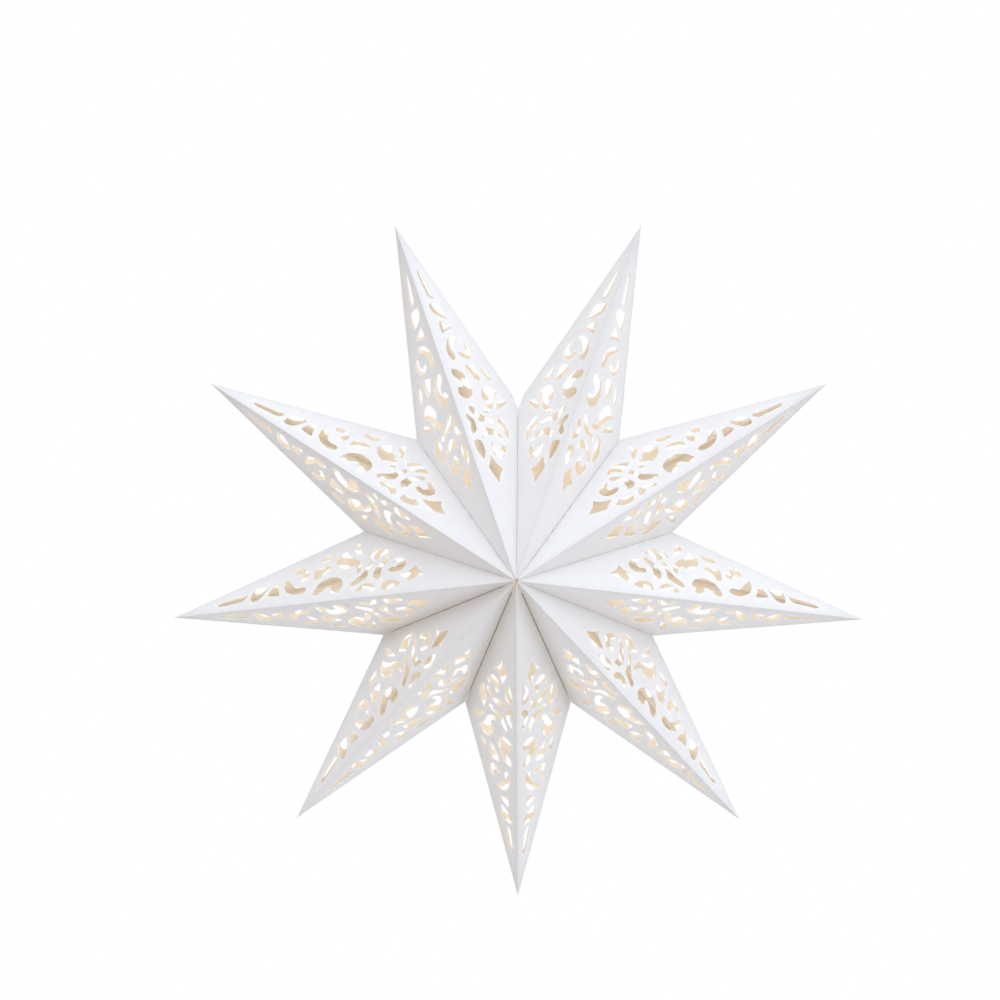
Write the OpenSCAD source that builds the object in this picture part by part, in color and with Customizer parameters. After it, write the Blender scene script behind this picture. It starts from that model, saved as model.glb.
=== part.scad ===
// Hanging paper star with nine folded points, pierced with a scroll and leaf pattern.
// Each point is one sheet of card, folded along its ridges and edges and open towards the middle.
// The points stand in a ring, glued to each other by narrow flaps along their valleys.
// X runs to the right, Z runs up, and Y runs through the star from its front hub to its back hub.
// The origin is the middle of the star, and all sizes are in millimetres.

/* [Star] */
// Number of points in the ring
point_count = 9; // [8:1:10]
// Distance from the middle of the star to the tip of a point
tip_radius = 300; // [270:5:340]
// Distance from the middle of the star to the valley between two points
valley_radius = 133.5; // [120:0.5:150]
// Depth of the star from its middle plane to its front or back hub
hub_depth = 104; // [85:0.5:120]

/* [Card] */
// Thickness of the card
card = 0.4; // [0.3:0.05:0.6]
// Thickness of the glue between two flaps
glue = 0.1; // [0.05:0.05:0.2]
// Radius of the small hole where the folds meet at each hub
hub_hole_radius = 2; // [1.5:0.5:4]

/* [Flaps] */
// Width of the flaps that join neighbouring points along their valleys
valley_flap_width = 10; // [6:0.5:12]
// Length of valley that stays without a flap next to the hub
valley_flap_start = 15; // [12:1:30]
// Length of valley that stays without a flap next to the outer end of the valley
valley_flap_end = 10; // [10:1:20]
// Width of the flap that closes each point along its back ridge
ridge_flap_width = 5; // [3:0.5:5]
// Length of ridge that stays without a flap at each end
ridge_flap_end = 24; // [16:1:40]

/* [Cut-outs] */
// How far a straight stretch of outline may run from its curve before the curve gets a further point
outline_tolerance = 0.3; // [0.1:0.1:1]
// Depth of the corner cut from the two top points, which leaves the hole for a hanging cord
cord_cut_depth = 3.5; // [3:0.5:5]

/* [Hidden] */

card_colour = [0.96, 0.96, 0.97];
// Angle between two neighbouring tips, and half of it
step = 360 / point_count;
half_step = step / 2;
// Middle of the top valley, from which the points are numbered anticlockwise as seen from the front
top_angle = 90;

// A facet is the triangle between hub, tip and valley corner.
// Its ridge runs along the facet's first axis, from the hub at 0 to the tip.
ridge_length = norm([tip_radius, hub_depth]);
ridge_slope = atan2(hub_depth, tip_radius);
corner_along = valley_radius * cos(half_step);
corner_across = valley_radius * sin(half_step);
corner_behind = hub_depth * cos(ridge_slope) - corner_along * sin(ridge_slope);
facet_tilt = atan2(corner_across, corner_behind);
facet_corner = [
  corner_along * cos(ridge_slope) + hub_depth * sin(ridge_slope),
  norm([corner_across, corner_behind])
];
valley_length = norm([valley_radius, hub_depth]);
valley_slope = atan2(hub_depth, valley_radius);

// Larger than the star, for the blocks that cut it
reach = 3 * tip_radius;
// How far a cutting shape runs past the card on each side
overrun = 0.5;
// How far the ridge flap reaches into the card of the facet that it is glued under
ridge_flap_sunk = card / 2;
// Sides of the round hub hole
hub_hole_sides = 48;

// The pattern is drawn on a template facet with its ridge along the first axis.
template_ridge = 314.5;
template_corner = [148, 69.6];
pattern_scale = [ridge_length / template_ridge, facet_corner.y / template_corner.y];
pattern_shear = (facet_corner.x - template_corner.x * pattern_scale.x) / template_corner.y;

// Outlines of the cut-outs, in template millimetres from the hub.
// A curve runs through the points of each, apart from sharp corners, which have a third value of 1.
kite = [
  [82.6, 18.5, 1], [90.2, 23.2], [93.8, 28.5, 1], [98.6, 23.2],
  [107.4, 19.1, 1], [101.6, 16.2], [97.8, 12.6, 1], [90.4, 15.4]
];
inner_scroll = [
  [114, 36.6], [109.4, 38.2], [102.5, 31.4], [106.6, 24.2], [114, 23.2],
  [118.2, 26], [116, 28.6], [112, 28.2], [109.8, 31.4], [111.6, 34]
];
left_stem = [
  [119, 39.8], [125.6, 35.4], [131.2, 25.6], [129.6, 19],
  [122.4, 17.2, 1], [124.4, 25], [122.4, 31.6], [117.2, 37.4]
];
fan = [
  [117.2, 43.4, 1], [121.5, 47.4], [127.4, 49.3], [134, 47],
  [140.2, 44], [137, 41], [130.4, 38.4], [123.6, 42.6]
];
petal = [[150.6, 57.6], [153.8, 52.6], [150.4, 46.6], [145, 43.2, 1], [147.2, 51]];
bell = [
  [160.4, 51, 1], [164.6, 46.8], [167.8, 42], [165.4, 35.4], [157.2, 31.2], [152.4, 34.6],
  [148.4, 32.6], [146.4, 26.3], [143.2, 30.4], [146.6, 38.6], [155.4, 44.4]
];
small_leaf = [[170.2, 48.6, 1], [176.6, 47.8], [184, 44], [181, 41.1], [173.4, 43.6]];
broad_leaf = [
  [171.8, 35.4], [179, 36.4], [187, 35.1, 1], [187.2, 28.6], [184.8, 24], [176.4, 28.9]
];
hook = [
  [206.3, 33], [203.6, 36], [196.4, 36.8], [191.5, 31.2], [194, 25],
  [197.8, 22], [198.4, 25], [197, 29.6], [200.6, 32.1], [204.2, 30.8]
];
outer_scroll = [
  [192, 14.6], [194.8, 17.4], [202, 17.2], [207.2, 22.6], [211.4, 26.9],
  [214, 23.6], [211.4, 15.4], [202.4, 10.4], [194.4, 11.3]
];
wedge = [[220.4, 24.2, 1], [225.2, 18.8], [227, 12.4], [216, 11, 1], [218.4, 17.6]];
tile = [[229.2, 22.2], [241, 21], [243.6, 12.6], [241.8, 7.8], [235.6, 9.2], [230.8, 16]];
sliver = [[247.8, 15.8], [260, 13.3], [273.4, 8.6], [271, 6.6], [258, 8.2], [250, 10]];
comma = [
  [168.6, 24.8], [160.6, 21.8], [157.8, 14.6], [162.4, 7.5], [168.3, 9], [168.4, 14.4],
  [173.4, 14], [179.6, 7.6], [184.8, 9.4], [181.6, 18], [175.4, 23]
];
low_leaf = [[104.2, 10.6, 1], [111, 15], [120.4, 14.2], [121.8, 7.4], [117, 5.8], [109, 7.8]];
low_arch = [
  [127, 7.8], [130.4, 13.4], [138.4, 14.2], [144.9, 8.4], [142, 6.5], [136, 9.5], [129.6, 5.4]
];
right_stem = [
  [135.6, 37], [138.4, 33], [142.4, 24.4], [150.4, 16.8], [149.6, 12.6],
  [142.6, 16.2], [137, 20.4], [136.4, 27.4], [133.2, 34.2]
];
pattern = [
  kite, inner_scroll, left_stem, fan, petal, bell, small_leaf, broad_leaf, hook,
  outer_scroll, wedge, tile, sliver, comma, low_leaf, low_arch, right_stem
];

// The place on the facet of a point of the template
function on_facet(p) = [p.x * pattern_scale.x + p.y * pattern_shear, p.y * pattern_scale.y];

// The point of a closed outline that lies so many steps from the first one
function around(outline, index) = outline[(index + len(outline)) % len(outline)];

// The direction of a closed curve at one of its points, or none at a sharp corner
function heading(outline, index) =
  len(around(outline, index)) == 3
    ? [0, 0]
    : (on_facet(around(outline, index + 1)) - on_facet(around(outline, index - 1))) / 2;

// How far the curve's middle lies from the straight line to the next point
function bulge(outline, index) = (heading(outline, index) - heading(outline, index + 1)) / 8;

// The middle of the curve from one point to the next
function midway(outline, index) =
  (on_facet(outline[index]) + on_facet(around(outline, index + 1))) / 2 + bulge(outline, index);

// The closed curve through an outline's points, as a polygon
function curve(outline) = [
  for (index = [0 : len(outline) - 1])
    each norm(bulge(outline, index)) > outline_tolerance
      ? [on_facet(outline[index]), midway(outline, index)]
      : [on_facet(outline[index])]
];

// Puts its children on the front facet above the ridge, with the card below them
module on_front_facet() {
  translate([0, -hub_depth, 0])
    rotate([0, 0, ridge_slope])
      rotate([facet_tilt, 0, 0])
        children();
}

// Repeats its children on both sides of the ridge
module both_sides() {
  children();
  mirror([0, 0, 1]) children();
}

// Repeats its children on the front and the back of the star
module front_and_back() {
  children();
  mirror([0, 1, 0]) children();
}

// Everything below the plane that lies so deep under a front facet
module below_facet(depth) {
  on_front_facet()
    translate([-reach / 2, -reach / 2, -reach - depth])
      cube(reach);
}

// The pyramid between the four facet planes of a point, each moved in by the same depth
module pyramid(depth) {
  intersection() {
    below_facet(depth);
    mirror([0, 0, 1]) below_facet(depth);
    mirror([0, 1, 0]) below_facet(depth);
    mirror([0, 1, 0]) mirror([0, 0, 1]) below_facet(depth);
  }
}

// The sector of the star that one point fills, less half the glue on each side
module sector() {
  apex = glue / 2 / sin(half_step);
  edge = (reach - apex) * tan(half_step);
  rotate([90, 0, 0])
    linear_extrude(height = reach, center = true)
      polygon([[apex, 0], [reach, -edge], [reach, edge]]);
}

// A strip of card with slanting ends, along the first axis
module flap(start, end, width) {
  polygon([
    [start, -overrun], [end, -overrun], [end, 0],
    [end - width, width], [start + width, width], [start, 0]
  ]);
}

// The flap along the front valley above the point, turned in to lie on the neighbour's flap
module valley_flap() {
  rotate([0, -half_step, 0])
    translate([0, -hub_depth, -glue / 2 - card])
      rotate([0, 0, valley_slope])
        linear_extrude(height = card)
          flap(valley_flap_start, valley_length - valley_flap_end, valley_flap_width);
}

// The flap along the back ridge, turned in and glued under the facet above it
module ridge_flap() {
  mirror([0, 1, 0])
    on_front_facet()
      translate([0, 0, -2 * card])
        linear_extrude(height = card + ridge_flap_sunk)
          flap(ridge_flap_end, ridge_length - ridge_flap_end, ridge_flap_width);
}

// The pattern cut through one facet
module facet_cuts() {
  on_front_facet()
    translate([0, 0, -card - overrun])
      linear_extrude(height = card + 2 * overrun)
        for (outline = pattern) polygon(curve(outline));
}

// The corner cut from a facet's valley corner, for the cord
module corner_cut() {
  on_front_facet()
    translate([facet_corner.x - valley_radius / 2, facet_corner.y - cord_cut_depth, -card - overrun])
      cube([valley_radius, valley_radius, card + 2 * overrun]);
}

// One point along the first axis, with its valley flaps turned in and its pattern cut
module folded_point() {
  difference() {
    intersection() {
      union() {
        difference() {
          pyramid(0);
          pyramid(card);
        }
        front_and_back() both_sides() valley_flap();
        ridge_flap();
      }
      pyramid(0);
      sector();
    }
    front_and_back() both_sides() facet_cuts();
    rotate([90, 0, 0])
      cylinder(r = hub_hole_radius, h = reach, center = true, $fn = hub_hole_sides);
  }
}

// A point of the ring, where the first and the last have their corner cut for the cord
module star_point(index) {
  color(card_colour)
    rotate([0, half_step - top_angle - index * step, 0])
      difference() {
        folded_point();
        if (index == 1) mirror([0, 0, 1]) front_and_back() corner_cut();
        if (index == point_count) front_and_back() corner_cut();
      }
}

for (index = [1 : point_count])
  star_point(index);
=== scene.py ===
import math

import bpy
import numpy as np
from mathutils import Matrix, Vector
from mathutils.geometry import delaunay_2d_cdt


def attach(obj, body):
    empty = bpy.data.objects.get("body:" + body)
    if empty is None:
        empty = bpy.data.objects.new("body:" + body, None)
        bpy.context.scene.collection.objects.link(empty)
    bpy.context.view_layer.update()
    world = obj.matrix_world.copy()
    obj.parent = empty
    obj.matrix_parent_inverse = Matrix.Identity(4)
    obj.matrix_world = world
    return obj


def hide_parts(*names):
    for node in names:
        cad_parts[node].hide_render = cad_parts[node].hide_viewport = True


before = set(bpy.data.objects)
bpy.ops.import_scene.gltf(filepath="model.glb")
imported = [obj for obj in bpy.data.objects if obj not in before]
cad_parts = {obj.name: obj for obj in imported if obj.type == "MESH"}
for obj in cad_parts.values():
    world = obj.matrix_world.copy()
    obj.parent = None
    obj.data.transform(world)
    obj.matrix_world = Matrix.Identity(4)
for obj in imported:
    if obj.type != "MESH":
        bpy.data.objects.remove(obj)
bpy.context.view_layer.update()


# Camera. It stands a little above the star and about 2 m away, aimed at the star's middle.
# The star hangs a little low and to the right in the square picture, which the two shifts give.
camera_data = bpy.data.cameras.new("camera")
camera_data.sensor_width = 36.0
camera_data.lens = 84.15
camera_data.shift_x = -0.01795
camera_data.shift_y = 0.05875
camera_data.clip_end = 50.0
camera = bpy.data.objects.new("camera", camera_data)
camera.location = (0.0244, -1.9670, 0.3440)
camera.rotation_euler = (-camera.location).to_track_quat("-Z", "Y").to_euler()
bpy.context.scene.collection.objects.link(camera)
bpy.context.scene.camera = camera


# Folded points. Each point of the star is one sheet of white card, scored and folded to four
# long facets, which are pierced with scrolls and leaves. Narrow flaps along the valleys are turned
# in, and the nine points are glued flap to flap in a ring, so the seams show as fine lines.
POINT_COUNT = 9
STEP = math.tau / POINT_COUNT
HALF_STEP = STEP / 2
TIP_RADIUS = 0.300
VALLEY_RADIUS = 0.1335
HUB_DEPTH = 0.104
CARD = 0.0004
HUB_HOLE = 0.002
FLAP_WIDTH = 0.010
FLAP_START = 0.015
FLAP_END = 0.010
RIDGE_FLAP_WIDTH = 0.005
RIDGE_FLAP_END = 0.024
RIDGE_FLAP_ROWS = 3
CORD_CUT = 0.0035
# Radius of the fold along the ridges and along the outer edges
RIDGE_FOLD = 0.0006
EDGE_FOLD = 0.0005
MILLIMETRE = 0.001
# Each valley, from the top one anticlockwise: half the gap between its flaps, and its folds' radius
VALLEY_GAPS = np.array([0.07, 0.05, 0.05, 0.17, 0.20, 0.20, 0.05, 0.05, 0.08]) * MILLIMETRE
VALLEY_FOLDS = np.array([0.6, 0.4, 0.4, 1.3, 1.6, 1.6, 0.4, 0.4, 0.6]) * MILLIMETRE
# How strongly painted shade darkens each of them, over this width on both sides
VALLEY_SHADE_STRENGTHS = np.array([0.1, 0.1, 0.15, 0.9, 1.0, 1.0, 0.35, 0.1, 0.1])
VALLEY_SHADE_WIDTH = 0.02
# The radius of a fold dies away over this length at its ends, to this share
FOLD_FADE = 0.015
FOLD_END_SHARE = 0.1
# The least and the most that the middle of a facet bows in
LEAST_BOW, MOST_BOW = -0.0004, 0.0007
# How far from a fold, and from a cut edge, the card shows wear
FOLD_WEAR_WIDTH = 0.003
CUT_WEAR_WIDTH = 0.0015

# Outlines of the cut-outs on a template facet, in millimetres from the hub, along the ridge and
# across from it. A curve runs through the points of each, apart from sharp corners, which have a
# third value of 1.
kite = [
    (82.6, 18.5, 1), (90.2, 23.2), (93.8, 28.5, 1), (98.6, 23.2),
    (107.4, 19.1, 1), (101.6, 16.2), (97.8, 12.6, 1), (90.4, 15.4),
]
inner_scroll = [
    (114, 36.6), (109.4, 38.2), (102.5, 31.4), (106.6, 24.2), (114, 23.2),
    (118.2, 26), (116, 28.6), (112, 28.2), (109.8, 31.4), (111.6, 34),
]
left_stem = [
    (119, 39.8), (125.6, 35.4), (131.2, 25.6), (129.6, 19),
    (122.4, 17.2, 1), (124.4, 25), (122.4, 31.6), (117.2, 37.4),
]
fan = [
    (117.2, 43.4, 1), (121.5, 47.4), (127.4, 49.3), (134, 47),
    (140.2, 44), (137, 41), (130.4, 38.4), (123.6, 42.6),
]
petal = [(150.6, 57.6), (153.8, 52.6), (150.4, 46.6), (145, 43.2, 1), (147.2, 51)]
bell = [
    (160.4, 51, 1), (164.6, 46.8), (167.8, 42), (165.4, 35.4), (157.2, 31.2), (152.4, 34.6),
    (148.4, 32.6), (146.4, 26.3), (143.2, 30.4), (146.6, 38.6), (155.4, 44.4),
]
small_leaf = [(170.2, 48.6, 1), (176.6, 47.8), (184, 44), (181, 41.1), (173.4, 43.6)]
broad_leaf = [
    (171.8, 35.4), (179, 36.4), (187, 35.1, 1), (187.2, 28.6), (184.8, 24), (176.4, 28.9),
]
hook = [
    (206.3, 33), (203.6, 36), (196.4, 36.8), (191.5, 31.2), (194, 25),
    (197.8, 22), (198.4, 25), (197, 29.6), (200.6, 32.1), (204.2, 30.8),
]
outer_scroll = [
    (192, 14.6), (194.8, 17.4), (202, 17.2), (207.2, 22.6), (211.4, 26.9),
    (214, 23.6), (211.4, 15.4), (202.4, 10.4), (194.4, 11.3),
]
wedge = [(220.4, 24.2, 1), (225.2, 18.8), (227, 12.4), (216, 11, 1), (218.4, 17.6)]
tile = [(229.2, 22.2), (241, 21), (243.6, 12.6), (241.8, 7.8), (235.6, 9.2), (230.8, 16)]
sliver = [(247.8, 15.8), (260, 13.3), (273.4, 8.6), (271, 6.6), (258, 8.2), (250, 10)]
comma = [
    (168.6, 24.8), (160.6, 21.8), (157.8, 14.6), (162.4, 7.5), (168.3, 9), (168.4, 14.4),
    (173.4, 14), (179.6, 7.6), (184.8, 9.4), (181.6, 18), (175.4, 23),
]
low_leaf = [(104.2, 10.6, 1), (111, 15), (120.4, 14.2), (121.8, 7.4), (117, 5.8), (109, 7.8)]
low_arch = [
    (127, 7.8), (130.4, 13.4), (138.4, 14.2), (144.9, 8.4), (142, 6.5), (136, 9.5), (129.6, 5.4),
]
right_stem = [
    (135.6, 37), (138.4, 33), (142.4, 24.4), (150.4, 16.8), (149.6, 12.6),
    (142.6, 16.2), (137, 20.4), (136.4, 27.4), (133.2, 34.2),
]
pattern = [
    kite, inner_scroll, left_stem, fan, petal, bell, small_leaf, broad_leaf, hook,
    outer_scroll, wedge, tile, sliver, comma, low_leaf, low_arch, right_stem,
]
# The template facet's ridge and valley corner
TEMPLATE_RIDGE = 0.3145
TEMPLATE_CORNER = np.array([0.148, 0.0696])
# Steps of each curve from one of these points to the next
CURVE_STEPS = 7


def unit(vector):
    """The vector over its own length."""
    return vector / np.linalg.norm(vector)


# The front upper facet of a point whose ridge runs along X is the triangle of these three corners
hub = np.array([0, -HUB_DEPTH, 0])
tip = np.array([TIP_RADIUS, 0, 0])
valley_corner = VALLEY_RADIUS * np.array([math.cos(HALF_STEP), 0, math.sin(HALF_STEP)])
along_ridge = unit(tip - hub)
across_ridge = unit(np.cross(np.cross(along_ridge, valley_corner - hub), along_ridge))
facet_inward = unit(np.cross(across_ridge, along_ridge))
facet_inward *= np.sign(facet_inward[1])
flat_tip = np.array([np.linalg.norm(tip - hub), 0])
flat_corner = np.array([(valley_corner - hub) @ along_ridge, (valley_corner - hub) @ across_ridge])
flat_hub = np.zeros(2)
# The plane through the valley, in which the flap lies, and the flap's way into the star
valley_line = unit(valley_corner - hub)
flap_inward = np.array([math.sin(HALF_STEP), 0, -math.cos(HALF_STEP)])
flap_way = unit(np.cross(valley_line, flap_inward))
flap_way *= np.sign(flap_way[1])
valley_turn = math.acos(facet_inward @ flap_inward)
ridge_turn = 2 * math.asin(abs(facet_inward[2]))
edge_turn = 2 * math.asin(abs(facet_inward[1]))


def smooth_outline(points):
    """A closed curve through the points, stretched from the template to the facet. Between two
    points it is the cubic whose direction at each is half the step from the point before to the
    point after, or none at a corner."""
    place = np.array([p[:2] for p in points], float) * MILLIMETRE
    stretch = np.array([flat_tip[0] / TEMPLATE_RIDGE, flat_corner[1] / TEMPLATE_CORNER[1]])
    lean = (flat_corner[0] - TEMPLATE_CORNER[0] * stretch[0]) / TEMPLATE_CORNER[1]
    place = place * stretch + place[:, 1:] * (lean, 0)
    sharp = np.array([len(p) == 3 for p in points])
    heading = (np.roll(place, -1, 0) - np.roll(place, 1, 0)) / 2
    heading[sharp] = 0
    s = (np.arange(CURVE_STEPS) / CURVE_STEPS)[None, :, None]
    start, end = place[:, None], np.roll(place, -1, 0)[:, None]
    leave, arrive = heading[:, None], np.roll(heading, -1, 0)[:, None]
    curve = (
        (2 * s**3 - 3 * s**2 + 1) * start + (s**3 - 2 * s**2 + s) * leave
        + (3 * s**2 - 2 * s**3) * end + (s**3 - s**2) * arrive
    )
    return curve.reshape(-1, 2)


def side_of(start, end):
    """A side of the flat facet: its start, direction and length, and the direction in from it."""
    way = unit(end - start)
    inward = np.array([-way[1], way[0]])
    inner = (flat_hub + flat_tip + flat_corner) / 3 - start
    return start, way, np.linalg.norm(end - start), inward * np.sign(inward @ inner)


ridge_side = side_of(flat_hub, flat_tip)
outer_side = side_of(flat_tip, flat_corner)
valley_side = side_of(flat_hub, flat_corner)


def lengthwise(flat, side):
    """How far along a side each flat point lies."""
    return (flat - side[0]) @ side[1]


def inside_by(flat, side):
    """How far in from a side each flat point lies, negative beyond it."""
    return (flat - side[0]) @ side[3]


def radius_along(place, length, radius):
    """A fold's radius at a place along it: its full value, dying away towards both ends."""
    near_end = np.minimum(place, length - place) / FOLD_FADE
    return radius * np.clip(near_end, FOLD_END_SHARE, 1)


def rounding(distance, radius, turn, inward_way, normal):
    """The move that rounds a fold. A point nearer to the fold line than the radius times the
    tangent of half the turn goes on to the arc that touches both sheets, as far round it as it lay
    from the fold line."""
    reach = radius * math.tan(turn / 2)
    share = np.clip(1 - distance / reach, 0, 1)
    angle = share * turn / 2
    slide = np.where(share > 0, reach - radius * np.sin(angle) - distance, 0)
    sink = radius * (1 - np.cos(angle))
    return slide[:, None] * inward_way + sink[:, None] * normal


def lift(vectors):
    """Flat directions as directions in the facet's plane."""
    return np.asarray(vectors)[..., :1] * along_ridge + np.asarray(vectors)[..., 1:] * across_ridge


def folded(flat, gap, fold, bow):
    """The place in space of points of the flat facet and its flap. A point of the facet lies on the
    facet's plane, bowed in by the product of its distances from the three sides, as shares of the
    facet's heights, which is a 27th at the middle. A point beyond the valley line lies on the flap,
    which turns in there. Close to each fold line the sheet follows an arc."""
    set_back = gap / math.sin(valley_turn)
    beyond = inside_by(flat, valley_side) - set_back
    on_facet = flat - np.minimum(beyond, 0)[:, None] * valley_side[3]
    place = hub + lift(on_facet) + np.maximum(-beyond, 0)[:, None] * flap_way
    bowed = 27 * bow
    for side, opposite in (
        (ridge_side, flat_corner), (outer_side, flat_hub), (valley_side, flat_tip),
    ):
        bowed = bowed * np.maximum(inside_by(on_facet, side), 0) / inside_by(opposite, side)
    place += bowed[:, None] * facet_inward
    for side, radius, turn in (
        (ridge_side, RIDGE_FOLD, ridge_turn), (outer_side, EDGE_FOLD, edge_turn),
    ):
        there = radius_along(lengthwise(on_facet, side), side[2], radius)
        distance = np.maximum(inside_by(on_facet, side), 0)
        place += rounding(distance, there, turn, lift(side[3]), facet_inward)
    there = radius_along(lengthwise(flat, valley_side), valley_side[2], fold)
    turned = rounding(np.abs(beyond), there, valley_turn, flap_way, flap_inward)
    straight = rounding(np.abs(beyond), there, valley_turn, lift(valley_side[3]), facet_inward)
    return place + np.where((beyond < 0)[:, None], turned, straight)


# Spacing of the mesh along the folds, and inside the facet
SIDE_SPACING = 0.004
GRID_SPACING = 0.0065
# How near to an outline a point of the grid may lie, as a share of its spacing, and one of a fold
GRID_CLEARANCE = 0.4
FOLD_CLEARANCE = 1e-5
# Points and edges of the flat sheet that lie closer than this count as one
SHEET_TOLERANCE = 1e-9
# Places across a rounded fold, as shares of its reach
FOLD_ROWS = np.array([0.0, 0.25, 0.5, 0.75, 1.0])
# Points of the round hub hole on one facet
HUB_HOLE_STEPS = 4


def contains(polygon, points):
    """Whether each point lies inside a closed polygon, which it does if a line from it crosses the
    polygon's sides an odd number of times."""
    x, y = points[:, None, 0], points[:, None, 1]
    x0, y0 = polygon[None, :, 0], polygon[None, :, 1]
    x1, y1 = np.roll(x0, -1, 1), np.roll(y0, -1, 1)
    crosses = (y0 > y) != (y1 > y)
    at = x0 + (y - y0) * (x1 - x0) / np.where(y1 == y0, 1, y1 - y0)
    return (crosses & (x < at)).sum(1) % 2 == 1


def fold_points(side, radius, turn, shift, rows):
    """Rows of flat points along a fold, on both sides of it where a row is negative."""
    count = int(side[2] / SIDE_SPACING)
    place = side[2] * np.arange(1, count) / count
    reach = radius_along(place, side[2], radius) * math.tan(turn / 2)
    base = side[0] + place[:, None] * side[1] + shift * side[3]
    return (base[None] + (rows[:, None] * reach[None])[..., None] * side[3]).reshape(-1, 2)


def sheet_outline(gap, notched):
    """The outline of the flat facet with its flap, as a closed row of points. At the hub the sheet
    ends on the round hole, whose points are found from their places as seen along Y."""
    valley_in = gap / math.sin(valley_turn) * valley_side[3]
    from_ridge = np.linspace(0, HALF_STEP - math.asin(gap / HUB_HOLE), HUB_HOLE_STEPS)
    seen = np.array([along_ridge[[0, 2]], across_ridge[[0, 2]]]).T
    circle = HUB_HOLE * np.array([np.cos(from_ridge), np.sin(from_ridge)])
    round_hub = np.linalg.solve(seen, circle).T
    edge_way = unit(flat_corner - flat_tip)

    def on_valley(place, out):
        """A place along the valley line, or so far out from it on the flap."""
        return place * valley_side[1] + valley_in - out * valley_side[3]

    if notched:
        level = flat_corner[1] - CORD_CUT
        outer_cut = flat_tip + edge_way * level / edge_way[1]
        inner_cut = on_valley(0, 0) + valley_side[1] * (level - valley_in[1]) / valley_side[1][1]
        head = [outer_cut, inner_cut]
    else:
        short = (valley_in @ valley_side[3]) / abs(edge_way @ valley_side[3])
        head = [flat_corner - short * edge_way]
    flap_end = valley_side[2] - FLAP_END
    flap = [
        on_valley(flap_end, 0), on_valley(flap_end - FLAP_WIDTH, FLAP_WIDTH),
        on_valley(FLAP_START + FLAP_WIDTH, FLAP_WIDTH), on_valley(FLAP_START, 0),
    ]
    corners = np.array([*round_hub[::-1], flat_tip, *head, *flap])
    outline = []
    for start, end in zip(corners, np.roll(corners, -1, 0)):
        count = max(int(np.linalg.norm(end - start) / SIDE_SPACING), 1)
        outline.append(start + (end - start) * (np.arange(count) / count)[:, None])
    return np.concatenate(outline)


def flat_sheet(gap, fold, notched):
    """The flat facet with its flap and cut-outs, as points and triangles, with the points of the
    cut-outs. The outline and the curves are edges of the triangles, and rows of points along the
    folds and a grid of points between them fill the rest."""
    outline = sheet_outline(gap, notched)
    holes = [smooth_outline(points) for points in pattern]
    rings = [outline, *holes]
    on_rings = np.concatenate(rings)

    def from_rings(points):
        """How far each point lies from the nearest point of an outline."""
        return np.linalg.norm(points[:, None] - on_rings[None], axis=2).min(1)

    set_back = gap / math.sin(valley_turn)
    both_ways = np.concatenate([-FOLD_ROWS[1:], FOLD_ROWS])
    x, y = np.meshgrid(
        np.arange(0, flat_tip[0], GRID_SPACING), np.arange(0, flat_corner[1], GRID_SPACING)
    )
    x = x + (np.arange(len(x)) % 2)[:, None] * GRID_SPACING / 2
    grid = np.stack([x.ravel(), y.ravel()], 1)
    inner = np.concatenate([
        fold_points(ridge_side, RIDGE_FOLD, ridge_turn, 0, FOLD_ROWS[1:]),
        fold_points(outer_side, EDGE_FOLD, edge_turn, 0, FOLD_ROWS[1:]),
        fold_points(valley_side, fold, valley_turn, set_back, both_ways),
        grid[from_rings(grid) > GRID_CLEARANCE * GRID_SPACING],
    ])
    inner = inner[contains(outline, inner) & (from_rings(inner) > FOLD_CLEARANCE)]
    for hole in holes:
        inner = inner[~contains(hole, inner)]

    points = np.concatenate([on_rings, inner])
    edges, first = [], 0
    for ring in rings:
        index = np.arange(len(ring))
        edges.append(np.stack([index, np.roll(index, -1)], 1) + first)
        first += len(ring)
    found = delaunay_2d_cdt(
        [Vector(p) for p in points.tolist()], np.concatenate(edges).tolist(), [], 0, SHEET_TOLERANCE
    )
    points = np.array([tuple(p) for p in found[0]])
    triangles = np.array(found[2])
    middle = points[triangles].mean(1)
    kept = contains(outline, middle)
    for hole in holes:
        kept &= ~contains(hole, middle)
    triangles = triangles[kept]
    corner = points[triangles]
    one, two = corner[:, 1] - corner[:, 0], corner[:, 2] - corner[:, 0]
    turned = one[:, 0] * two[:, 1] - one[:, 1] * two[:, 0] < 0
    triangles[turned] = triangles[turned][:, ::-1]
    return points, triangles, on_rings[len(outline):]


def ridge_flap(fold, bow):
    """The flap that closes a point along its back ridge, one card's thickness under the facet. It
    is a strip with slanting ends, as a grid whose rows run along the ridge."""
    across = np.linspace(RIDGE_FOLD, RIDGE_FLAP_WIDTH, RIDGE_FLAP_ROWS)[:, None]
    count = int(ridge_side[2] / SIDE_SPACING)
    share = np.linspace(0, 1, count)[None]
    start = RIDGE_FLAP_END + across
    along = start + share * (ridge_side[2] - 2 * start)
    flat = np.stack([along, across + 0 * along], -1).reshape(-1, 2)
    corner = np.arange(RIDGE_FLAP_ROWS - 1)[:, None] * count + np.arange(count - 1)[None]
    corner = corner.reshape(-1, 1)
    triangles = np.concatenate([corner + (0, 1, count + 1), corner + (0, count + 1, count)])
    return folded(flat, 0, fold, bow) + CARD * facet_inward, triangles


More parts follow.
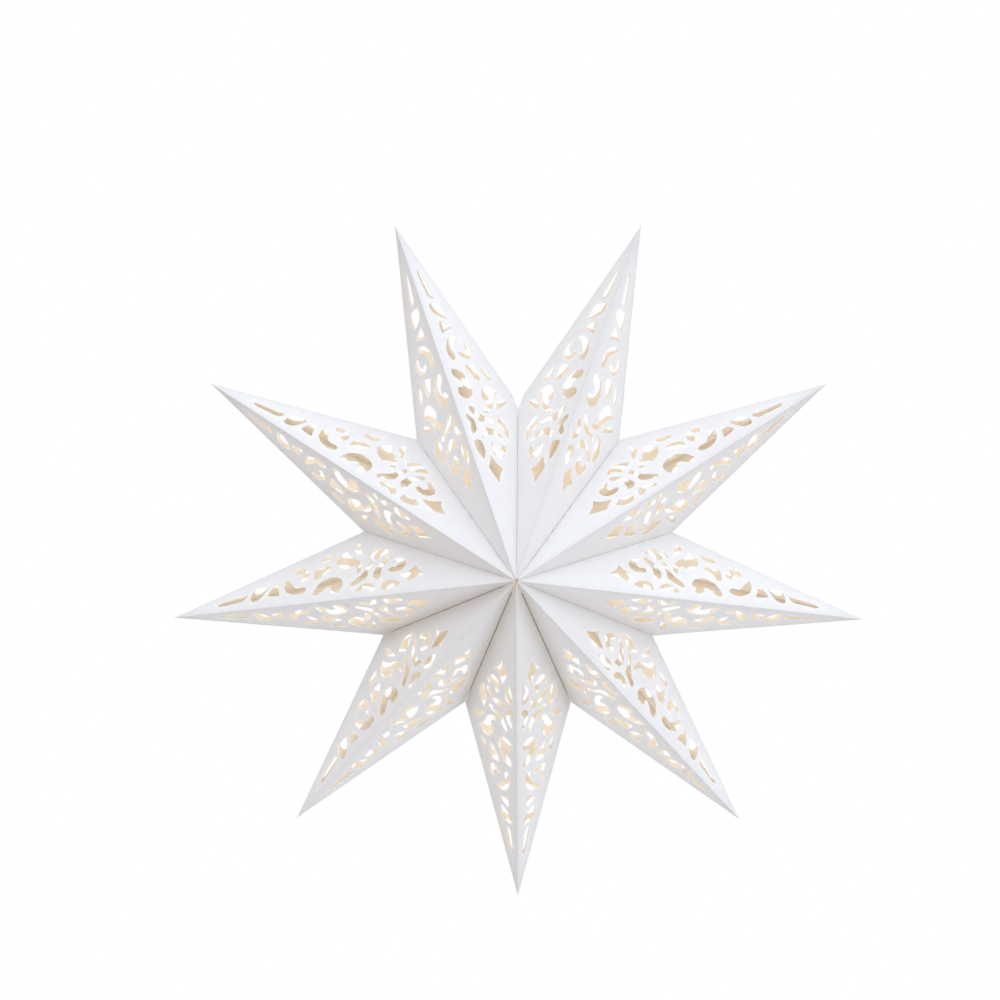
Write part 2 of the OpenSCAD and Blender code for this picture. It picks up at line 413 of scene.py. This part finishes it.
def folded_point(index, random):
    """The mesh of one point of the ring, outer face only. It is four copies of the flat sheet,
    folded, and mirrored across the ridge and across the middle plane, then turned to their place.
    Three masks say how near each vertex is to a fold and to a cut edge, and how much painted shade
    its valley gives it."""
    places, faces, near_fold, near_cut, near_valley_shade, first = [], [], [], [], [], 0
    for side in (1, -1):
        valley = index % POINT_COUNT if side > 0 else index - 1
        gap, fold = VALLEY_GAPS[valley], VALLEY_FOLDS[valley]
        flat, triangles, cuts = flat_sheet(gap, fold, valley == 0)
        distances = [np.abs(inside_by(flat, s)) for s in (ridge_side, outer_side, valley_side)]
        to_cut = np.linalg.norm(flat[:, None] - cuts[None], axis=2).min(1)
        for depth in (1, -1):
            bow = random.uniform(LEAST_BOW, MOST_BOW)
            places.append(folded(flat, gap, fold, bow) * (1, depth, side))
            faces.append((triangles if side * depth > 0 else triangles[:, ::-1]) + first)
            first += len(flat)
            near_fold.append(np.clip(1 - np.min(distances, axis=0) / FOLD_WEAR_WIDTH, 0, 1))
            near_cut.append(np.clip(1 - to_cut / CUT_WEAR_WIDTH, 0, 1))
            # Painted shade along each valley, strongest at the valley line and gone at the width's
            # end
            nearness = np.clip(1 - distances[2] / VALLEY_SHADE_WIDTH, 0, 1)
            near_valley_shade.append(VALLEY_SHADE_STRENGTHS[valley] * nearness**2)
            if side > 0 > depth:
                strip, strip_faces = ridge_flap(fold, bow)
                places.append(strip * (1, depth, side))
                faces.append(strip_faces[:, ::-1] + first)
                first += len(strip)
                for mask in (near_fold, near_cut, near_valley_shade):
                    mask.append(np.zeros(len(strip)))
    turn = math.pi / 2 - HALF_STEP + index * STEP
    cos, sin = math.cos(turn), math.sin(turn)
    x, y, z = np.concatenate(places).T
    place = np.stack([x * cos - z * sin, y, x * sin + z * cos], 1)
    masks = {"fold": near_fold, "cut": near_cut, "valley_painted_shade": near_valley_shade}
    return place, np.concatenate(faces), masks


# Vertices of two facets that lie closer than this are joined
JOIN_DISTANCE = 2e-6
random = np.random.default_rng(9)
star_points = []
for index in range(1, POINT_COUNT + 1):
    place, faces, masks = folded_point(index, random)
    mesh = bpy.data.meshes.new(f"folded_point_{index}")
    mesh.from_pydata(place.tolist(), [], faces.tolist())
    for name, values in masks.items():
        attribute = mesh.attributes.new(name, "FLOAT", "POINT")
        attribute.data.foreach_set("value", np.concatenate(values).astype(np.float32))
    piece = bpy.data.objects.new(f"folded_point_{index}", mesh)
    bpy.context.scene.collection.objects.link(piece)
    weld = piece.modifiers.new("join facets", "WELD")
    weld.merge_threshold = JOIN_DISTANCE
    thicken = piece.modifiers.new("card", "SOLIDIFY")
    thicken.thickness = CARD
    thicken.offset = -1
    thicken.use_even_offset = False
    thicken.use_quality_normals = True
    thicken.material_offset = 1
    thicken.material_offset_rim = 2
    star_points.append(piece)


# The card is matt white outside, and its inside is painted warm cream, which stands in for the warm
# light that comes through the paper; its cut edges show a bright core.
# Fine fibres give it a soft grain, it is rubbed along its folds, and painted shade darkens its
# valleys, most in the lowest ones.

# Scale, detail and distortion of the noises, from slow clouds down to specks
CLOUDS, PATCHES, FIBRES, SPECKS = (9, 3, 0), (130, 3, 0.4), (650, 4, 1.6), (2400, 2, 0)
# Shares of the patches beside the clouds, of the specks beside the fibres, and of these two in all
PATCH_SHARE, SPECK_SHARE, FINE_SHARE = 0.4, 0.4, 0.35
# The range of the grain that spans the two shades, and of the patches that spans the wear
GRAIN_RANGE, PATCH_RANGE = (0.36, 0.64), (0.35, 0.6)
# Where each mask of the mesh starts to show, how strong it gets, and how patchy it is; the valley
# mask is painted shade, the fold and cut masks are wear
VALLEY_PAINTED_SHADE, FOLD_WEAR, CUT_WEAR = (0, 1, 0.25), (0.2, 0.6, 0.55), (0.2, 0.7, 0.55)
# How high the fibres stand at a relief of 1, and the share of the patches in that height
FIBRE_HEIGHT = 0.0003
PATCH_HEIGHT_SHARE = 0.35
SHEEN_LEVEL = 0.3


def paper_grain():
    """What all the faces of the card share. Slow clouds and fine fibres wander between two shades.
    The folds take a third shade where they are rubbed, the cut edges a fourth, and the glued
    valleys a fifth, darker and warmer, which is painted shade. The fibres stand up a little."""
    group = bpy.data.node_groups.new("paper_grain", "ShaderNodeTree")
    for name, way, kind in (
        ("Light shade", "INPUT", "Color"), ("Dark shade", "INPUT", "Color"),
        ("Fold shade", "INPUT", "Color"), ("Edge shade", "INPUT", "Color"),
        ("Valley painted shade", "INPUT", "Color"), ("Smoothest", "INPUT", "Float"),
        ("Roughest", "INPUT", "Float"), ("Relief", "INPUT", "Float"),
        ("Colour", "OUTPUT", "Color"), ("Roughness", "OUTPUT", "Float"),
        ("Normal", "OUTPUT", "Vector"),
    ):
        group.interface.new_socket(name=name, in_out=way, socket_type=f"NodeSocket{kind}")
    nodes, links = group.nodes, group.links
    given, result = nodes.new("NodeGroupInput"), nodes.new("NodeGroupOutput")
    where = nodes.new("ShaderNodeTexCoord")

    def noise(scale, detail, distortion):
        """A noise fixed to the card."""
        made = nodes.new("ShaderNodeTexNoise")
        made.inputs["Scale"].default_value = scale
        made.inputs["Detail"].default_value = detail
        made.inputs["Distortion"].default_value = distortion
        links.new(where.outputs["Object"], made.inputs["Vector"])
        return made.outputs["Fac"]

    def between(kind, share, first, second):
        """A mix of two numbers or colours, each a fixed value or a socket."""
        made = nodes.new("ShaderNodeMix")
        made.data_type = kind
        slots = (2, 3) if kind == "FLOAT" else (6, 7)
        for value, slot in ((share, 0), (first, slots[0]), (second, slots[1])):
            if isinstance(value, float):
                made.inputs[slot].default_value = value
            else:
                links.new(value, made.inputs[slot])
        return made.outputs[0 if kind == "FLOAT" else 2]

    def stretched(value, low, high, to_low, to_high):
        """One range of a value stretched to another, and held at its ends."""
        made = nodes.new("ShaderNodeMapRange")
        made.inputs["From Min"].default_value = low
        made.inputs["From Max"].default_value = high
        made.inputs["To Min"].default_value = to_low
        made.inputs["To Max"].default_value = to_high
        links.new(value, made.inputs["Value"])
        return made.outputs["Result"]

    def along(name, from_level, strongest, unevenness):
        """A mask of the mesh above a level, patchy by some share of it."""
        near = nodes.new("ShaderNodeAttribute")
        near.attribute_name = name
        made = nodes.new("ShaderNodeMath")
        made.operation = "MULTIPLY"
        links.new(stretched(near.outputs["Fac"], from_level, 1, 0, strongest), made.inputs[0])
        links.new(stretched(patches, *PATCH_RANGE, 1 - unevenness, 1), made.inputs[1])
        return made.outputs[0]

    clouds, patches, fibres, specks = [noise(*look) for look in (CLOUDS, PATCHES, FIBRES, SPECKS)]
    coarse = between("FLOAT", PATCH_SHARE, clouds, patches)
    fine = between("FLOAT", SPECK_SHARE, fibres, specks)
    grain = between("FLOAT", FINE_SHARE, coarse, fine)
    shade = stretched(grain, *GRAIN_RANGE, 0, 1)
    plain = between("RGBA", shade, given.outputs["Dark shade"], given.outputs["Light shade"])
    # Painted shade: the card darkens and warms towards its valleys, most in the lowest ones
    valley_shaded = between("RGBA", along("valley_painted_shade", *VALLEY_PAINTED_SHADE), plain, given.outputs["Valley painted shade"])
    rubbed = between("RGBA", along("fold", *FOLD_WEAR), valley_shaded, given.outputs["Fold shade"])
    edged = between("RGBA", along("cut", *CUT_WEAR), rubbed, given.outputs["Edge shade"])
    links.new(edged, result.inputs["Colour"])
    rough = between("FLOAT", grain, given.outputs["Smoothest"], given.outputs["Roughest"])
    links.new(rough, result.inputs["Roughness"])
    relief = nodes.new("ShaderNodeBump")
    links.new(given.outputs["Relief"], relief.inputs["Strength"])
    relief.inputs["Distance"].default_value = FIBRE_HEIGHT
    height = between("FLOAT", PATCH_HEIGHT_SHARE, fibres, patches)
    links.new(height, relief.inputs["Height"])
    links.new(relief.outputs["Normal"], result.inputs["Normal"])
    return group


grain_group = paper_grain()


def card_material(name, shades, smoothest, roughest, relief, let_through):
    """A matt face of the card in five shades, of which the valley one is painted shade, and which
    lets a share of the light through.
    """
    material = bpy.data.materials.new(name)
    material.use_nodes = True
    nodes, links = material.node_tree.nodes, material.node_tree.links
    shader = nodes["Principled BSDF"]
    shader.inputs["Specular IOR Level"].default_value = SHEEN_LEVEL
    grain = nodes.new("ShaderNodeGroup")
    grain.node_tree = grain_group
    for socket, colour in shades.items():
        grain.inputs[f"{socket} shade"].default_value = (*colour, 1)
    grain.inputs["Smoothest"].default_value = smoothest
    grain.inputs["Roughest"].default_value = roughest
    grain.inputs["Relief"].default_value = relief
    links.new(grain.outputs["Colour"], shader.inputs["Base Color"])
    links.new(grain.outputs["Roughness"], shader.inputs["Roughness"])
    links.new(grain.outputs["Normal"], shader.inputs["Normal"])
    if let_through:
        through = nodes.new("ShaderNodeBsdfTranslucent")
        links.new(grain.outputs["Colour"], through.inputs["Color"])
        both = nodes.new("ShaderNodeMixShader")
        both.inputs[0].default_value = let_through
        links.new(shader.outputs[0], both.inputs[1])
        links.new(through.outputs[0], both.inputs[2])
        links.new(both.outputs[0], nodes["Material Output"].inputs["Surface"])
    return material


# Each face's valley colour is painted shade for the valleys
white_card = card_material(
    "white_card", {
        "Light": (0.900, 0.900, 0.910), "Dark": (0.865, 0.862, 0.868), "Fold": (0.80, 0.79, 0.78),
        "Edge": (0.92, 0.92, 0.92), "Valley painted": (0.70, 0.655, 0.59),
    }, smoothest=0.72, roughest=0.88, relief=0.22, let_through=0.14,
)
# The inside face is painted warm cream, standing in for the warm light that comes through the card
inner_card_painted_warm_light = card_material(
    "inner_card_painted_warm_light", {
        "Light": (0.86, 0.775, 0.655), "Dark": (0.825, 0.735, 0.61), "Fold": (0.79, 0.69, 0.56),
        "Edge": (0.90, 0.84, 0.74), "Valley painted": (0.79, 0.69, 0.56),
    }, smoothest=0.76, roughest=0.90, relief=0.06, let_through=0.24,
)
card_edge = card_material(
    "card_edge", {
        "Light": (0.93, 0.925, 0.91), "Dark": (0.87, 0.86, 0.84), "Fold": (0.86, 0.85, 0.83),
        "Edge": (0.93, 0.925, 0.91), "Valley painted": (0.80, 0.76, 0.70),
    }, smoothest=0.78, roughest=0.92, relief=0.22, let_through=0,
)
for index, piece in enumerate(star_points, 1):
    for material in (white_card, inner_card_painted_warm_light, card_edge):
        piece.data.materials.append(material)
    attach(piece, "root")
    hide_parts(f"point_{index}")


# Floor. A plain, matt, pale studio floor, well below the star, which hangs free.
FLOOR_HEIGHT = -1.5
FLOOR_HALF = 1.4
FLOOR_COLOUR = (0.85, 0.85, 0.85)
FLOOR_ROUGHNESS = 0.9
floor_corners = np.array([(-1, -1, 0), (1, -1, 0), (1, 1, 0), (-1, 1, 0)]) * FLOOR_HALF
floor_corners[:, 2] = FLOOR_HEIGHT
floor_mesh = bpy.data.meshes.new("floor")
floor_mesh.from_pydata(floor_corners.tolist(), [], [(0, 1, 2, 3)])
floor = bpy.data.objects.new("floor", floor_mesh)
bpy.context.scene.collection.objects.link(floor)
floor_material = bpy.data.materials.new("pale_floor")
floor_material.use_nodes = True
floor_shader = floor_material.node_tree.nodes["Principled BSDF"]
floor_shader.inputs["Base Color"].default_value = (*FLOOR_COLOUR, 1)
floor_shader.inputs["Roughness"].default_value = FLOOR_ROUGHNESS
floor_mesh.materials.append(floor_material)


# Light. A soft studio surround, brightest above on the right and in front, with an evenly lit pale
# backdrop behind, and one large soft lamp above. The camera sees the surround as plain white.
BRIGHTEST_WAY = unit(np.array([0.339, -0.452, 0.825]))
BRIGHT_SIDE = (1.30, 1.39, 1.51)
DIM_SIDE = (0.26, 0.11, 0.0)
BACKDROP = (0.78, 0.78, 0.78)
# The surround has gone over to the backdrop where the way to it has this much of Y
BACKDROP_FROM = 0.6
LAMP_PLACE = (0.9, -1.5, 2.2)
LAMP_SIZE = 1.6
LAMP_POWER = 4
world = bpy.data.worlds.new("surround")
bpy.context.scene.world = world
world.use_nodes = True
nodes, links = world.node_tree.nodes, world.node_tree.links
background = nodes["Background"]
direction = nodes.new("ShaderNodeTexCoord")
towards = nodes.new("ShaderNodeVectorMath")
towards.operation = "DOT_PRODUCT"
towards.inputs[1].default_value = BRIGHTEST_WAY
links.new(direction.outputs["Generated"], towards.inputs[0])
level = nodes.new("ShaderNodeMapRange")
level.inputs["From Min"].default_value = -1
links.new(towards.outputs["Value"], level.inputs["Value"])
shade = nodes.new("ShaderNodeMix")
shade.data_type = "RGBA"
shade.inputs[6].default_value = (*DIM_SIDE, 1)
shade.inputs[7].default_value = (*BRIGHT_SIDE, 1)
links.new(level.outputs["Result"], shade.inputs["Factor"])
parts = nodes.new("ShaderNodeSeparateXYZ")
links.new(direction.outputs["Generated"], parts.inputs[0])
behind = nodes.new("ShaderNodeMapRange")
behind.interpolation_type = "SMOOTHSTEP"
behind.inputs["From Max"].default_value = BACKDROP_FROM
links.new(parts.outputs["Y"], behind.inputs["Value"])
around = nodes.new("ShaderNodeMix")
around.data_type = "RGBA"
around.inputs[7].default_value = (*BACKDROP, 1)
links.new(behind.outputs["Result"], around.inputs["Factor"])
links.new(shade.outputs[2], around.inputs[6])
links.new(around.outputs[2], background.inputs["Color"])
seen = nodes.new("ShaderNodeBackground")
seen.inputs["Color"].default_value = (1, 1, 1, 1)
path = nodes.new("ShaderNodeLightPath")
straight = path.outputs["Is Camera Ray"]
for ray in ("Is Glossy Ray", "Is Transmission Ray"):
    either = nodes.new("ShaderNodeMath")
    either.operation = "MAXIMUM"
    links.new(straight, either.inputs[0])
    links.new(path.outputs[ray], either.inputs[1])
    straight = either.outputs[0]
# A ray through the card counts as a diffuse ray too, and it meets the surround's own light
unscattered = nodes.new("ShaderNodeMath")
unscattered.operation = "SUBTRACT"
unscattered.use_clamp = True
links.new(straight, unscattered.inputs[0])
links.new(path.outputs["Is Diffuse Ray"], unscattered.inputs[1])
choose = nodes.new("ShaderNodeMixShader")
links.new(unscattered.outputs[0], choose.inputs[0])
links.new(background.outputs[0], choose.inputs[1])
links.new(seen.outputs[0], choose.inputs[2])
links.new(choose.outputs[0], nodes["World Output"].inputs["Surface"])

upper_data = bpy.data.lights.new("upper_lamp", "AREA")
upper_data.size = LAMP_SIZE
upper_data.energy = LAMP_POWER
upper_lamp = bpy.data.objects.new("upper_lamp", upper_data)
upper_lamp.location = LAMP_PLACE
upper_lamp.rotation_euler = (-upper_lamp.location).to_track_quat("-Z", "Y").to_euler()
bpy.context.scene.collection.objects.link(upper_lamp)


# The soft light inside the hollows comes from flat lamps, back to back in the star's middle plane.
# There is a round one in its middle, and four ever narrower ones lie out along each point.
GLOW_LEVEL = 0.58
# Watts for each square metre of a flat lamp at level 1
POWER_PER_AREA = 4
GLOW_ROUND = 0.21
# Each lamp along a point: the distances of its two ends from the star's middle, and its width
GLOW_STRIPS = (
    (0.115, 0.160, 0.060), (0.160, 0.200, 0.044), (0.200, 0.235, 0.028), (0.235, 0.268, 0.014),
)


def glow_lamp(shape, out, turn, side, length, width):
    """A lamp so far out in a point's direction, which shines to the star's back or front."""
    data = bpy.data.lights.new("glow", "AREA")
    data.shape = shape
    data.size, data.size_y = length, width
    data.energy = POWER_PER_AREA * GLOW_LEVEL * length * width
    lamp = bpy.data.objects.new("glow", data)
    lamp.location = (out * math.cos(turn), 0, out * math.sin(turn))
    lamp.rotation_euler = (side * math.pi / 2, -turn, 0)
    lamp.visible_camera = False
    bpy.context.scene.collection.objects.link(lamp)


for side in (1, -1):
    glow_lamp("ELLIPSE", 0, 0, side, GLOW_ROUND, GLOW_ROUND)
    for index in range(1, POINT_COUNT + 1):
        turn = math.pi / 2 - HALF_STEP + index * STEP
        for start, end, width in GLOW_STRIPS:
            glow_lamp("RECTANGLE", (start + end) / 2, turn, side, end - start, width)

bpy.context.scene.view_settings.view_transform = "Standard"
